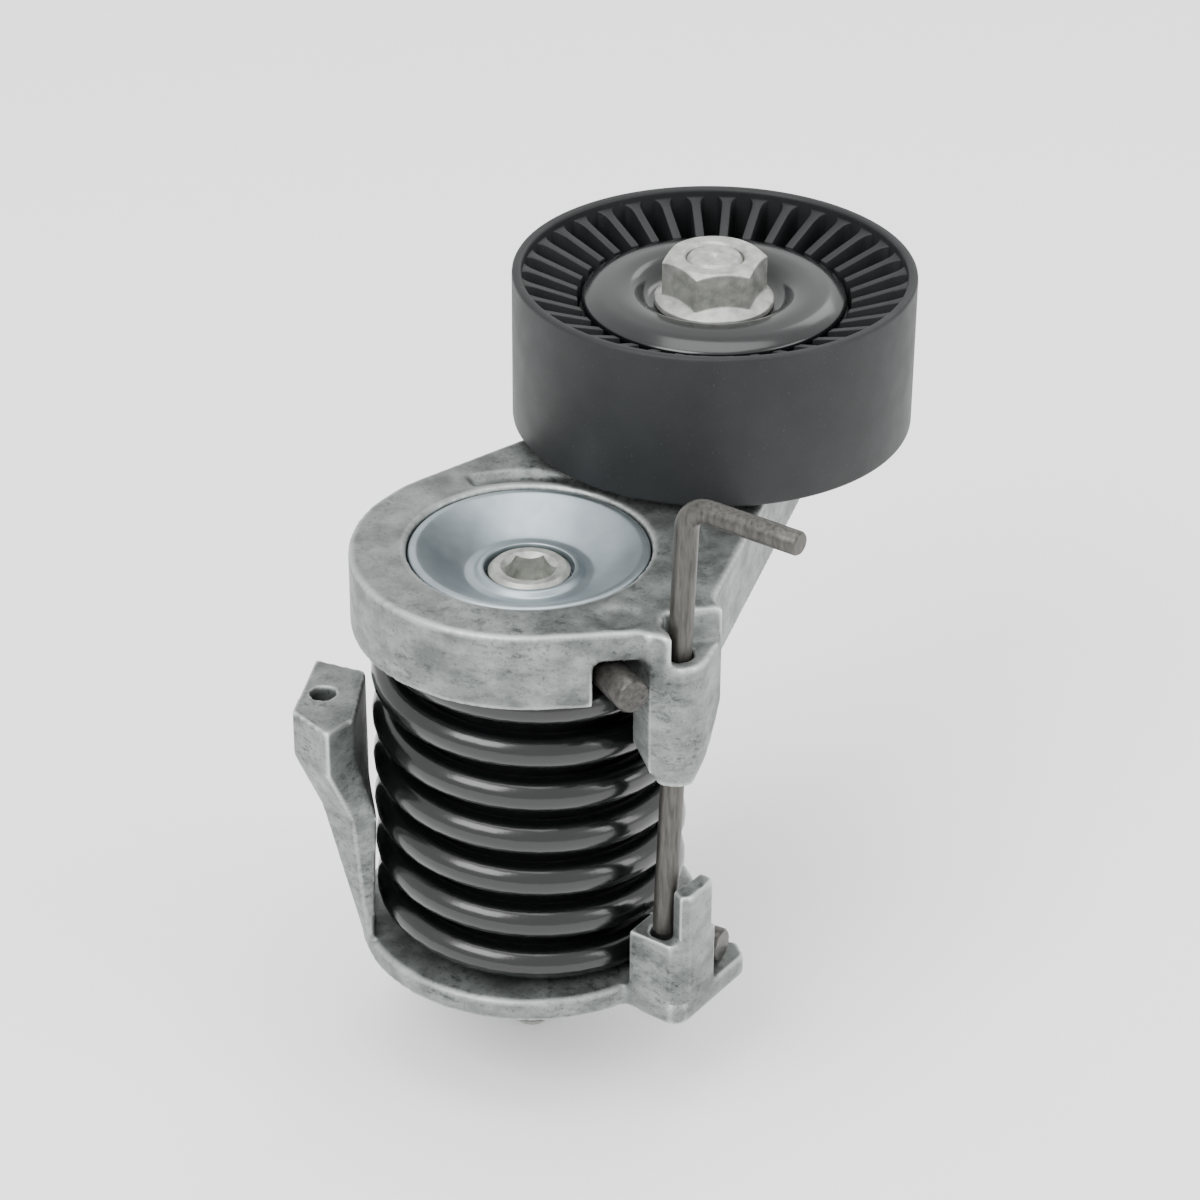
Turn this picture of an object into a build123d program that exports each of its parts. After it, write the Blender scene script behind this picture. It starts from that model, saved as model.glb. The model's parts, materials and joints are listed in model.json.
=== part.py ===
from build123d import *
import math
import os

# Belt tensioner idler. The origin is on the pivot axis in the base's mounting face, +Z runs up the
# pivot, and +Y runs from the pivot to the pulley axis while the locking pin holds the arm.

# base casting
plate_radius = 29.8
plate_thickness = 4.0
base_boss_radius = 14.0
base_boss_height = 10.0
nub_radius = 1.5
nub_height = 1.2
nub_place = (-11.2, -25.2)

# leg that stands beside the spring, with a small screw hole in its top
leg_azimuth = 225.3
leg_height = 50.5
leg_shoulder_height = 42.0
leg_waist_height = 30.0
leg_hole_radius = 2.15
leg_hole_depth = 14.0
leg_hole_reach = 35.1

# block and post beside the locking pin
block_outer_x = 39.4
block_side_y = -10.6
block_inner_x = 28.2
block_height = 15.5
post_height = 25.5
post_inner_x = 35.6
post_end_y = -1.2
lug_end_y = 9.8
socket_depth = 8.0

# pivot
shaft_radius = 10.0
shaft_foot = 1.0
shaft_top = 69.5
bolt_shank_radius = 4.0
bolt_neck_radius = 3.6
bolt_hole_radius = 4.3
bolt_head_radius = 6.9
bolt_head_height = 8.0
bolt_head_top = 71.9
bolt_reach = 21.0
hex_socket_flats = 8.0
hex_socket_depth = 5.0
hex_socket_turn = 35.3
bush_wall = 2.0
bush_length = 16.0
hub_wall = 4.0
hub_foot = 12.0
thrust_washer_thickness = 1.6

# end cap
cap_radius = 20.2
cap_sheet = 1.5
cap_top = 75.5
cap_rim_width = 1.4
cap_hole_radius = 7.6
cap_lip_height = 1.0
friction_sheet = 1.2

# torsion spring, wound left-handed, both ends bent outward
spring_outer_radius = 26.9
wire_radius = 3.0
spring_pitch = 8.5
upper_tang_azimuth = -27.2
lower_tang_azimuth = 7.5
full_turns = 7
tang_reach = 37.4
tang_bend_radius = 5.0
spring_floor_gap = 0.1

# arm casting
arm_top = 76.0
arm_skirt_foot = 62.0
arm_radius = 30.0
arm_skirt_wall = 2.3
arm_length = 54.05
arm_end_radius = 16.4
arm_end_height = 85.4
arm_end_boss_radius = 11.5
arm_shoulder = (30.2, -4.2)
arm_shoulder_radius = 6.6
arm_wall = 3.2
arm_deck = 5.5
slot_play = 0.6
slot_to_azimuth = -20.6
edge_round = 1.0

# locking pin boss, which hangs from the arm in front of the spring
pin_hole_place = (34.3, -6.4)
pin_hole_radius = 2.65
boss_foot = 47.5
boss_ledge = 70.3
boss_round = 5.2
boss_corner_radius = 34.9
notch_turn = 47.0
notch_corner = (30.6, -5.6)

# locking pin
pin_radius = 2.0
pin_foot = 15.8
pin_lean = 1.83
pin_lean_azimuth = 35.3
handle_height = 97.5
handle_length = 21.0
handle_bend_radius = 4.0

# pulley
pulley_radius = 35.0
pulley_foot = 78.0
pulley_width = 27.8
rim_wall = 1.9
rib_count = 36
rib_thickness = 1.6
rib_drop = 1.5
rib_slope = 3.6
web_thickness = 2.4
hub_ring_wall = 3.4

# bearing, nut, stud and shields
bearing_outer_radius = 20.0
bearing_bore_radius = 8.5
bearing_width = 12.0
bearing_foot = 86.5
ball_radius = 3.4
ball_count = 8
race_wall = 2.6
shield_sheet = 1.0
shield_radius = 23.0
shield_crest_radius = 16.5
shield_crest_rise = 3.2
shield_seat_radius = 12.4
stud_radius = 5.0
stud_head_radius = 8.0
stud_head_height = 3.0
nut_flats = 16.0
nut_height = 8.8
nut_turn = 43.8
nut_flange_radius = 10.4
nut_flange_height = 2.0

# fits and clearances
running_gap = 0.05
free_gap = 0.3

wire_centre_radius = spring_outer_radius - wire_radius
bend_centre_radius = wire_centre_radius + tang_bend_radius
bend_angle = math.degrees(math.asin(tang_bend_radius / bend_centre_radius))
coil_from_azimuth = upper_tang_azimuth + bend_angle
coil_to_azimuth = lower_tang_azimuth - bend_angle + 360 * full_turns
spring_foot = plate_thickness + wire_radius + spring_floor_gap
spring_head = spring_foot + spring_pitch * (coil_to_azimuth - coil_from_azimuth) / 360
slot_roof = spring_head + wire_radius + slot_play
bush_bore_radius = shaft_radius + running_gap
bush_radius = shaft_radius + bush_wall
hub_radius = bush_radius + hub_wall
liner_radius = spring_outer_radius - 2 * wire_radius - 2 * free_gap
bearing_top = bearing_foot + bearing_width
bearing_middle = bearing_foot + bearing_width / 2
ball_circle_radius = (bearing_outer_radius + bearing_bore_radius) / 2
nut_seat = bearing_top + shield_sheet
pulley_top = pulley_foot + pulley_width
pulley_middle = pulley_foot + pulley_width / 2
pulley_place = (0, arm_length)
skirt_inner_radius = arm_radius - arm_skirt_wall
cap_underside = cap_top - cap_sheet
recess_radius = cap_radius + free_gap
recess_floor = shaft_top + cap_sheet - 3.0
liner_top = arm_skirt_foot + 3.0
liner_split = 33.0


def polar(radius, azimuth):
    angle = math.radians(azimuth)
    return (radius * math.cos(angle), radius * math.sin(angle))


def ring(outer, inner, foot, height, place=(0, 0)):
    with BuildPart() as part:
        with BuildSketch(Plane.XY.offset(foot)):
            with Locations(place):
                Circle(outer)
                Circle(inner, mode=Mode.SUBTRACT)
        extrude(amount=height)
    return part.part


def disc(radius, foot, height, place=(0, 0)):
    return Pos(place[0], place[1], foot + height / 2) * Cylinder(radius, height)


def turned(points, place=(0, 0)):
    with BuildPart() as part:
        with BuildSketch(Plane.XZ):
            with BuildLine():
                Polyline(points, close=True)
            make_face()
        revolve(axis=Axis.Z)
    return Pos(place[0], place[1], 0) * part.part


def prism(points, foot, height):
    with BuildPart() as part:
        with BuildSketch(Plane.XY.offset(foot)):
            with BuildLine():
                Polyline(points, close=True)
            make_face()
        extrude(amount=height)
    return part.part


def hexagon_prism(flats, turn, foot, height):
    outline = Rot(0, 0, turn) * RegularPolygon(flats / 2, 6, major_radius=False)
    return extrude(Plane.XY.offset(foot) * outline, height)


def belt_outline(place_a, radius_a, place_b, radius_b):
    """Face that two circles and their outer tangents enclose."""
    ax, ay = place_a
    bx, by = place_b
    heading = math.atan2(by - ay, bx - ax)
    swing = math.acos((radius_a - radius_b) / math.hypot(bx - ax, by - ay))
    corners = []
    for x, y, radius, turn in (
        (ax, ay, radius_a, swing),
        (bx, by, radius_b, swing),
        (bx, by, radius_b, -swing),
        (ax, ay, radius_a, -swing),
    ):
        angle = heading + turn
        corners.append((x + radius * math.cos(angle), y + radius * math.sin(angle)))
    outline = make_face(Polyline(corners, close=True))
    outline += Pos(ax, ay) * Circle(radius_a)
    outline += Pos(bx, by) * Circle(radius_b)
    return outline


def base_plate():
    plate = disc(plate_radius, 0, plate_thickness)
    rim = plate.edges().filter_by(GeomType.CIRCLE).group_by(Axis.Z)[-1]
    plate = plate.fillet(edge_round, rim)
    boss = disc(base_boss_radius, 0, base_boss_height)
    nub = disc(nub_radius, -nub_height, nub_height + plate_thickness / 2, nub_place)
    return plate + boss + nub


def leg_section(height, points):
    with BuildSketch(Plane.XY.offset(height)) as section:
        with BuildLine():
            Polyline(points, close=True)
        make_face()
    return section.sketch


def base_leg():
    outer = leg_hole_reach + 5.8
    inner = spring_outer_radius + free_gap
    top = [(outer, 4.8), (outer - 4.9, 13.1), (inner + 3.7, 8.9), (inner, -6.0), (outer - 5.7, -11.2)]
    waist = [(outer - 4.6, 2.7), (inner + 4.6, 8.9), (inner + 0.4, 8.4), (inner, -6.0), (outer - 9.1, -9.7)]
    foot = [
        (plate_radius, 3.4),
        (plate_radius - 0.2, 6.4),
        (inner + 1.4, 6.8),
        (inner - 0.6, -6.0),
        (plate_radius - 0.6, -8.2),
    ]
    sections = [
        leg_section(leg_height, top),
        leg_section(leg_shoulder_height, top),
        leg_section(leg_waist_height, waist),
        leg_section(plate_thickness / 2, foot),
    ]
    upper = loft(sections[:2], ruled=True)
    lower = loft(sections[1:], ruled=True)
    leg = upper + lower
    leg -= disc(spring_outer_radius + free_gap + 0.6, 0, leg_height + 1)
    hole = disc(leg_hole_radius, leg_height - leg_hole_depth, leg_hole_depth + 1, (leg_hole_reach, 0))
    return Rot(0, 0, leg_azimuth) * (leg - hole)


def pin_axis_at(height):
    lean = math.tan(math.radians(pin_lean)) * (height - (boss_foot + boss_ledge) / 2)
    dx, dy = polar(lean, pin_lean_azimuth)
    return (pin_hole_place[0] + dx, pin_hole_place[1] + dy)


def base_block():
    taper = 0.8
    block = prism(
        [
            (block_inner_x - 4, block_side_y),
            (block_outer_x - 2, block_side_y - taper),
            (block_outer_x, block_side_y + 1.4),
            (block_outer_x, lug_end_y - 1.5),
            (block_outer_x - 2.8, lug_end_y + 0.8),
            (plate_radius - 4, lug_end_y),
        ],
        0,
        plate_thickness,
    )
    body = prism(
        [
            (block_inner_x, block_side_y),
            (block_outer_x - 2.6, block_side_y),
            (block_outer_x - 0.4, block_side_y + 2.2),
            (block_outer_x - 0.4, post_end_y + 0.8),
            (block_inner_x, post_end_y - 0.2),
        ],
        0,
        block_height,
    )
    post = prism(
        [
            (post_inner_x, block_side_y + 2.2),
            (block_outer_x - 1.4, block_side_y + 1.0),
            (block_outer_x, block_side_y + 2.4),
            (block_outer_x, post_end_y - 0.8),
            (block_outer_x - 1.0, post_end_y),
            (post_inner_x, post_end_y),
        ],
        0,
        post_height,
    )
    # ends clear of the coil's inner face and of the lower tang
    part = block + body + post
    part -= ring(spring_outer_radius + 2 * free_gap, 5, plate_thickness, block_height * 2)
    part -= bend_room(lower_tang_azimuth, -1, plate_thickness, 2 * wire_radius + spring_floor_gap + free_gap)
    # the pin swings past the post with the arm
    swing_radius = math.hypot(*pin_axis_at(post_height)) + pin_radius + free_gap
    part -= disc(swing_radius, block_height, post_height)
    x, y = pin_axis_at(block_height)
    part -= disc(pin_radius + free_gap, block_height - socket_depth, socket_depth + 0.1, (x, y))
    return part


def base_casting():
    casting = base_plate() + base_leg() + base_block()
    casting -= disc(shaft_radius, shaft_foot, base_boss_height)
    casting -= disc(bolt_hole_radius, -1, base_boss_height)
    return casting


def pivot_shaft():
    shaft = disc(shaft_radius, shaft_foot, shaft_top - shaft_foot)
    shaft -= disc(bolt_hole_radius, 0, shaft_top + 1)
    seat = bolt_head_top - bolt_head_height
    shaft -= disc(bolt_head_radius + free_gap, seat, shaft_top)
    return shaft


def mounting_bolt():
    seat = bolt_head_top - bolt_head_height
    tip = 1.0
    bolt = turned(
        [
            (0, -bolt_reach),
            (bolt_shank_radius - tip, -bolt_reach),
            (bolt_shank_radius, tip - bolt_reach),
            (bolt_shank_radius, 0),
            (bolt_neck_radius, 0),
            (bolt_neck_radius, seat),
            (bolt_head_radius, seat),
            (bolt_head_radius, bolt_head_top - 0.7),
            (bolt_head_radius - 0.7, bolt_head_top),
            (0, bolt_head_top),
        ]
    )
    socket_floor = bolt_head_top - hex_socket_depth
    socket = hexagon_prism(hex_socket_flats, hex_socket_turn, socket_floor, hex_socket_depth + 1)
    lead = turned(
        [
            (0, bolt_head_top - 0.9),
            (hex_socket_flats / 2, bolt_head_top - 0.9),
            (hex_socket_flats / 2 + 0.9, bolt_head_top + 0.1),
            (0, bolt_head_top + 0.1),
        ]
    )
    return bolt - socket - lead


def cap_cone_height(radius):
    inner = shaft_radius + 0.8
    outer = cap_radius - cap_rim_width
    share = (radius - inner) / (outer - inner)
    return shaft_top + cap_sheet + share * (cap_top - shaft_top - cap_sheet)


def end_cap():
    inner = shaft_radius + 0.8
    outer = cap_radius - cap_rim_width
    seat_top = shaft_top + cap_sheet
    return turned(
        [
            (cap_hole_radius, shaft_top),
            (inner, shaft_top),
            (outer, cap_underside),
            (cap_radius, cap_underside),
            (cap_radius, cap_top - 0.4),
            (cap_radius - 0.4, cap_top),
            (outer, cap_top),
            (inner, seat_top),
            (cap_hole_radius + 1.6, seat_top),
            (cap_hole_radius + 1.0, seat_top + cap_lip_height),
            (cap_hole_radius, seat_top + cap_lip_height),
        ]
    )


def friction_ring():
    knee = cap_radius - cap_rim_width
    inner = bush_radius + 1.0
    top = cap_sheet + free_gap
    foot = top + friction_sheet
    return turned(
        [
            (inner, cap_cone_height(inner) - foot),
            (knee, cap_top - foot),
            (cap_radius, cap_top - foot),
            (cap_radius, cap_top - top),
            (knee, cap_top - top),
            (inner, cap_cone_height(inner) - top),
        ]
    )


def recess():
    """Space that the end cap and the friction ring fill, open at the arm's top."""
    knee = cap_radius - cap_rim_width
    inner = bush_radius + 1.0
    depth = cap_sheet + free_gap + friction_sheet
    floor = cap_cone_height(inner) - depth
    return turned(
        [
            (0, floor),
            (inner, floor),
            (knee, cap_top - depth),
            (recess_radius, cap_top - depth),
            (recess_radius, arm_top + 1),
            (0, arm_top + 1),
        ]
    )


def bush(foot):
    return ring(bush_radius, bush_bore_radius, foot, bush_length)


def thrust_washer():
    return ring(hub_radius, shaft_radius + running_gap, base_boss_height, thrust_washer_thickness)


def lower_spring_guide():
    height = liner_split - free_gap - plate_thickness
    return ring(liner_radius, hub_radius + free_gap, plate_thickness, height)


def damping_sleeve():
    foot = liner_split + free_gap
    return ring(liner_radius, hub_radius, foot, liner_top - foot)


def tang_bend(tang_azimuth, side, height):
    """Points round the bend, from the straight tang to the coil that lies on its given side."""
    centre = polar(bend_centre_radius, tang_azimuth + side * bend_angle)
    steps = 5
    points = []
    for index in range(steps + 1):
        swing = (90 - bend_angle) * index / steps
        dx, dy = polar(tang_bend_radius, tang_azimuth - side * (90 + swing))
        points.append((centre[0] + dx, centre[1] + dy, height))
    return points


def bend_room(tang_azimuth, side, foot, height):
    """Space round a bend of the wire, cut out of the casting beside it."""
    x, y = polar(bend_centre_radius, tang_azimuth + side * bend_angle)
    outer = tang_bend_radius + wire_radius + free_gap
    inner = tang_bend_radius - wire_radius - free_gap
    corners = [(x, y)]
    for share in (0, 0.5, 1):
        dx, dy = polar(2 * outer, tang_azimuth - side * (90 + share * (90 - bend_angle)))
        corners.append((x + dx, y + dy))
    return ring(outer, inner, foot, height, (x, y)) & prism(corners, foot, height)


def wire_along(path, azimuth, is_frenet):
    """Round faces and end face of a length of wire, whose seam starts on the side facing the pivot."""
    start = Plane(origin=path @ 0, x_dir=(*polar(-1, azimuth), 0), z_dir=path % 0)
    length = sweep(start * Circle(wire_radius), path=path, is_frenet=is_frenet)
    ends = length.faces().filter_by(GeomType.PLANE)
    sides = [face for face in length.faces() if face not in ends]
    return sides, max(ends, key=lambda face: (face.center() - path @ 0).length)


def spring_end(tang_azimuth, side, height, coil_azimuth, heading):
    bend = tang_bend(tang_azimuth, side, height)
    outward = Vector(*polar(1, tang_azimuth))
    curve = Edge.make_spline([Vector(*point) for point in reversed(bend)], tangents=[heading, outward])
    tang = Edge.make_line(curve @ 1, (*polar(tang_reach, tang_azimuth), height))
    sides, end = wire_along(Wire([curve, tang]), coil_azimuth, False)
    return sides + [end]


def torsion_spring():
    span = coil_to_azimuth - coil_from_azimuth
    lengths = 2 * full_turns
    rise = (spring_head - spring_foot) / lengths
    faces = []
    for length in range(lengths):
        azimuth = coil_to_azimuth - span * length / lengths
        helix = Helix(360 * (spring_head - spring_foot) / span, rise, wire_centre_radius, lefthand=True)
        path = Pos(0, 0, spring_foot + rise * length) * Rot(0, 0, azimuth) * helix
        if length == 0:
            faces += spring_end(lower_tang_azimuth, -1, spring_foot, azimuth, -(path % 0))
        faces += wire_along(path, azimuth, True)[0]
    faces += spring_end(upper_tang_azimuth, 1, spring_head, coil_from_azimuth, path % 1)
    return Solid(Shell(faces))


def arm_outline():
    pivot = (0, 0)
    outline = belt_outline(pivot, arm_radius, pulley_place, arm_end_radius)
    outline += belt_outline(pivot, arm_radius, arm_shoulder, arm_shoulder_radius)
    outline += belt_outline(arm_shoulder, arm_shoulder_radius, pulley_place, arm_end_radius)
    outline += make_face(Polyline([pivot, arm_shoulder, pulley_place], close=True))
    return outline


def boss_outline():
    x, y = pin_hole_place
    inner = skirt_inner_radius + 1.9
    face = make_face(
        Polyline(
            [
                polar(inner, slot_to_azimuth),
                polar(boss_corner_radius, slot_to_azimuth - 0.6),
                (x - 0.6, y - boss_round),
                (x + boss_round, y),
                (x + 3.0, y + 8.6),
                (polar(inner, 8)[0], polar(inner, 8)[1] + 2),
            ],
            close=True,
        )
    )
    face += Pos(x, y) * Circle(boss_round)
    face -= Circle(inner)
    return face


def pin_boss():
    height = arm_top - boss_foot
    boss = extrude(Plane.XY.offset(boss_foot) * boss_outline(), height)
    # the lower corners are cut back on both sides of the pin, seen square to the boss's front face
    across = (*polar(1, pin_lean_azimuth), 0)
    outward = (*polar(1, pin_lean_azimuth - 90), 0)
    front = Plane(origin=(*pin_hole_place, 0), x_dir=across, z_dir=outward)
    wide = 12
    corners = [
        [(-wide, -1), (-2.6, -1), (-2.6, 0), (-6.2, 4.6), (-wide, 10)],
        [(wide, -1), (2.4, -1), (2.4, 0), (5.6, 5.2), (8.0, 13.0), (wide, 26)],
    ]
    for corner in corners:
        outline = make_face(Polyline(corner, close=True))
        cut = extrude(front * Pos(0, boss_foot) * outline, 20, both=True)
        boss -= cut
    return boss


def beside_upper_tang(along, aside):
    x, y = polar(along, upper_tang_azimuth)
    dx, dy = polar(aside, upper_tang_azimuth + 90)
    return (x + dx, y + dy)


def arm_casting():
    outline = arm_outline()
    arm = extrude(Plane.XY.offset(arm_skirt_foot) * outline, arm_top - arm_skirt_foot)
    arm += pin_boss()
    pocket = offset(outline, -arm_wall, kind=Kind.INTERSECTION)
    pocket -= Circle(arm_radius)
    pocket -= Pos(*pulley_place) * Circle(arm_end_boss_radius)
    arm -= extrude(Plane.XY.offset(arm_skirt_foot - 1) * pocket, arm_top - arm_deck - arm_skirt_foot + 1)
    arm += disc(arm_end_boss_radius, arm_top - 1, arm_end_height - arm_top + 1, pulley_place)
    # room for the spring inside the skirt, left open in the slot for the tang
    arm -= disc(skirt_inner_radius, arm_skirt_foot - 1, slot_roof - arm_skirt_foot + 1)
    arm += ring(hub_radius, bush_radius, hub_foot, recess_floor - hub_foot)
    arm += ring(liner_radius, bush_radius, liner_top, slot_roof - liner_top)
    arm -= recess()
    slot = prism(
        [
            beside_upper_tang(skirt_inner_radius - 2, -wire_radius - slot_play),
            beside_upper_tang(arm_radius + 12, -wire_radius - slot_play),
            polar(arm_radius + 12, slot_to_azimuth),
            beside_upper_tang(skirt_inner_radius - 2, wire_radius + slot_play),
        ],
        boss_foot - 1,
        slot_roof - boss_foot + 1,
    )
    arm -= slot
    relief_foot = spring_head - wire_radius - free_gap
    arm -= bend_room(upper_tang_azimuth, 1, relief_foot, slot_roof - relief_foot)
    notch_size = 20
    notch_place = Pos(notch_corner[0], notch_corner[1], boss_ledge) * Rot(0, 0, notch_turn)
    notch = notch_place * Box(notch_size, notch_size, notch_size, align=(Align.MIN, Align.MAX, Align.MIN))
    arm -= notch
    arm -= disc(pin_hole_radius, boss_foot - 1, arm_top, pin_hole_place)
    arm -= disc(stud_radius, arm_skirt_foot - 1, arm_end_height, pulley_place)
    arm -= disc(stud_head_radius, arm_skirt_foot - 1, stud_head_height + 1, pulley_place)
    return arm


def locking_pin():
    foot = pin_axis_at(pin_foot)
    bend = pin_axis_at(handle_height)
    points = [
        (foot[0], foot[1], pin_foot),
        (bend[0], bend[1], handle_height),
        (bend[0] + handle_length, bend[1], handle_height),
    ]
    path = FilletPolyline(*points, radius=handle_bend_radius)
    start = Plane(origin=path @ 0, z_dir=path % 0)
    return sweep(start * Circle(pin_radius), path=path)


def pulley_rib():
    inner = bearing_outer_radius + hub_ring_wall
    outer = pulley_radius - rim_wall
    top = pulley_top - rib_drop
    root = 0.5
    profile = [
        (inner - root, pulley_middle),
        (outer + root, pulley_middle),
        (outer + root, top),
        (inner + free_gap, top - rib_slope),
        (inner + free_gap, bearing_top - root),
        (inner - root, bearing_top - root),
    ]
    with BuildPart() as rib:
        with BuildSketch(Plane.XZ):
            with BuildLine():
                Polyline(profile, close=True)
            make_face()
        extrude(amount=rib_thickness / 2, both=True)
    return rib.part


def pulley_wheel():
    inner = bearing_outer_radius
    hub = inner + hub_ring_wall
    bore = pulley_radius - rim_wall
    lip = 0.6
    web_foot = pulley_middle - web_thickness / 2
    web_top = pulley_middle + web_thickness / 2
    wheel = turned(
        [
            (inner, bearing_foot),
            (hub, bearing_foot),
            (hub, web_foot),
            (bore, web_foot),
            (bore, pulley_foot),
            (pulley_radius - lip, pulley_foot),
            (pulley_radius, pulley_foot + lip),
            (pulley_radius, pulley_top - lip),
            (pulley_radius - lip, pulley_top),
            (bore, pulley_top),
            (bore, web_top),
            (hub, web_top),
            (hub, bearing_top),
            (inner, bearing_top),
        ]
    )
    rib = pulley_rib()
    lower = mirror(rib, about=Plane.XY.offset(pulley_middle))
    pair = rib + lower
    ribs = [Rot(0, 0, 360 * index / rib_count) * pair for index in range(rib_count)]
    wheel = wheel.fuse(*ribs)
    return Pos(*pulley_place, 0) * wheel


def race(outer, inner):
    blank = ring(outer, inner, bearing_foot, bearing_width)
    groove = Pos(0, 0, bearing_middle) * Torus(ball_circle_radius, ball_radius + running_gap)
    return Pos(*pulley_place, 0) * (blank - groove)


def bearing_balls():
    balls = []
    for index in range(ball_count):
        x, y = polar(ball_circle_radius, 360 * index / ball_count)
        balls.append(Pos(x, y + arm_length, bearing_middle) * Sphere(ball_radius))
    return Compound(balls)


def ball_cage():
    width = 4.0
    cage = ring(ball_circle_radius + 1.1, ball_circle_radius - 1.1, bearing_middle - width, 2 * width)
    for index in range(ball_count):
        place = Pos(ball_circle_radius, 0, bearing_middle) * Rot(0, 90, 0)
        pocket = place * Cylinder(ball_radius + running_gap, 8)
        cage -= Rot(0, 0, 360 * index / ball_count) * pocket
    return Pos(*pulley_place, 0) * cage


def bearing_seal(foot):
    inner = bearing_bore_radius + race_wall + free_gap
    outer = bearing_outer_radius - race_wall
    return ring(outer, inner, foot, 0.8, pulley_place)


def front_shield():
    seat = nut_seat
    crest = seat + shield_crest_rise
    return turned(
        [
            (stud_radius, bearing_top),
            (shield_seat_radius, bearing_top),
            (shield_crest_radius - 2.2, crest - shield_sheet - 0.7),
            (shield_crest_radius, crest - shield_sheet),
            (shield_radius - 2.6, crest - shield_sheet - 1.2),
            (shield_radius, crest - shield_sheet - 2.6),
            (shield_radius, crest - 2.2),
            (shield_radius - 2.2, crest - 1.0),
            (shield_crest_radius, crest),
            (shield_crest_radius - 2.8, crest - 0.7),
            (shield_seat_radius - 0.4, seat),
            (stud_radius, seat),
        ],
        pulley_place,
    )


def rear_shield():
    top = bearing_foot
    foot = arm_end_height
    return turned(
        [
            (stud_radius, foot),
            (arm_end_boss_radius + 1, foot),
            (shield_radius, foot - 3.4),
            (shield_radius, foot - 2.3),
            (arm_end_boss_radius + 1, top),
            (stud_radius, top),
        ],
        pulley_place,
    )


def bearing_sleeve():
    return ring(bearing_bore_radius, stud_radius, bearing_foot, bearing_width, pulley_place)


def pulley_stud():
    head_foot = arm_skirt_foot
    top = nut_seat + nut_height
    tip = 0.8
    return turned(
        [
            (0, head_foot),
            (stud_head_radius, head_foot),
            (stud_head_radius, head_foot + stud_head_height),
            (stud_radius, head_foot + stud_head_height),
            (stud_radius, top - tip),
            (stud_radius - tip, top),
            (0, top),
        ],
        pulley_place,
    )


def flange_nut():
    body = hexagon_prism(nut_flats, nut_turn, nut_seat, nut_height)
    crown = turned(
        [
            (0, nut_seat - 1),
            (nut_flats, nut_seat - 1),
            (nut_flats, nut_seat + nut_height - 5.0),
            (nut_flats / 2 - 0.2, nut_seat + nut_height),
            (0, nut_seat + nut_height),
        ]
    )
    body = body & crown
    flange = turned(
        [
            (0, nut_seat),
            (nut_flange_radius, nut_seat),
            (nut_flange_radius, nut_seat + nut_flange_height / 2),
            (nut_flats / 2, nut_seat + nut_flange_height + 0.6),
            (0, nut_seat + nut_flange_height + 0.6),
        ]
    )
    nut = body + flange - disc(stud_radius, nut_seat - 1, nut_height + 2)
    return Pos(*pulley_place, 0) * nut


parts = {
    "base_casting": base_casting,
    "pivot_shaft": pivot_shaft,
    "mounting_bolt": mounting_bolt,
    "end_cap": end_cap,
    "thrust_washer": thrust_washer,
    "lower_spring_guide": lower_spring_guide,
    "torsion_spring": torsion_spring,
    "arm_casting": arm_casting,
    "upper_bush": lambda: bush(recess_floor - bush_length),
    "lower_bush": lambda: bush(hub_foot),
    "friction_ring": friction_ring,
    "damping_sleeve": damping_sleeve,
    "pulley_stud": pulley_stud,
    "bearing_sleeve": bearing_sleeve,
    "bearing_inner_ring": lambda: race(bearing_bore_radius + race_wall, bearing_bore_radius),
    "front_shield": front_shield,
    "rear_shield": rear_shield,
    "flange_nut": flange_nut,
    "bearing_outer_ring": lambda: race(bearing_outer_radius, bearing_outer_radius - race_wall),
    "front_seal": lambda: bearing_seal(bearing_top - 1.2),
    "rear_seal": lambda: bearing_seal(bearing_foot + 0.4),
    "pulley_wheel": pulley_wheel,
    "ball_cage": ball_cage,
    "bearing_balls": bearing_balls,
    "locking_pin": locking_pin,
}

os.makedirs("parts", exist_ok=True)
for name, make in parts.items():
    export_step(make(), f"parts/{name}.step")
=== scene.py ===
import json
import math
import bpy
from mathutils import Matrix, Vector


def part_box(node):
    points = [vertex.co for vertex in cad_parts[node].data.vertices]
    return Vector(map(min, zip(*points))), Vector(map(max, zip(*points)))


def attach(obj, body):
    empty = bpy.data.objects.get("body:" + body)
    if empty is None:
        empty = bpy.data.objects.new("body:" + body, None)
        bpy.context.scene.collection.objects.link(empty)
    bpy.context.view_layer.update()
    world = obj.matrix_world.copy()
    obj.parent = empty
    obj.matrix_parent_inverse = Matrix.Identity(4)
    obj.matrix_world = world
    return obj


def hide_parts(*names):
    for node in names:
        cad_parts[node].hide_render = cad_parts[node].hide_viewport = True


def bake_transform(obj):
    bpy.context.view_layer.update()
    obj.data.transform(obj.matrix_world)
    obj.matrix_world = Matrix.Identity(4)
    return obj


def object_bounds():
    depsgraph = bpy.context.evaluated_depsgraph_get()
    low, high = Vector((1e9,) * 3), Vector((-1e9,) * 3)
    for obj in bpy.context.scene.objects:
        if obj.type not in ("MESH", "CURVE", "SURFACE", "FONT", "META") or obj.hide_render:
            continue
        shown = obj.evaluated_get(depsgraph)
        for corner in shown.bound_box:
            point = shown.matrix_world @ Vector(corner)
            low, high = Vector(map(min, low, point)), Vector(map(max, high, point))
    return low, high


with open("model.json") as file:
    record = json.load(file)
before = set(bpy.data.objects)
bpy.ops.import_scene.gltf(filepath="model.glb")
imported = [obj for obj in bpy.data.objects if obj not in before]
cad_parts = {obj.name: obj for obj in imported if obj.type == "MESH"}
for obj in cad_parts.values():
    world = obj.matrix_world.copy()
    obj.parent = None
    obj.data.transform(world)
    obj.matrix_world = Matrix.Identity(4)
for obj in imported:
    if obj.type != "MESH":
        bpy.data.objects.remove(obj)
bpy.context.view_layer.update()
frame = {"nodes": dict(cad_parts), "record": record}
mm = 0.001

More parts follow.
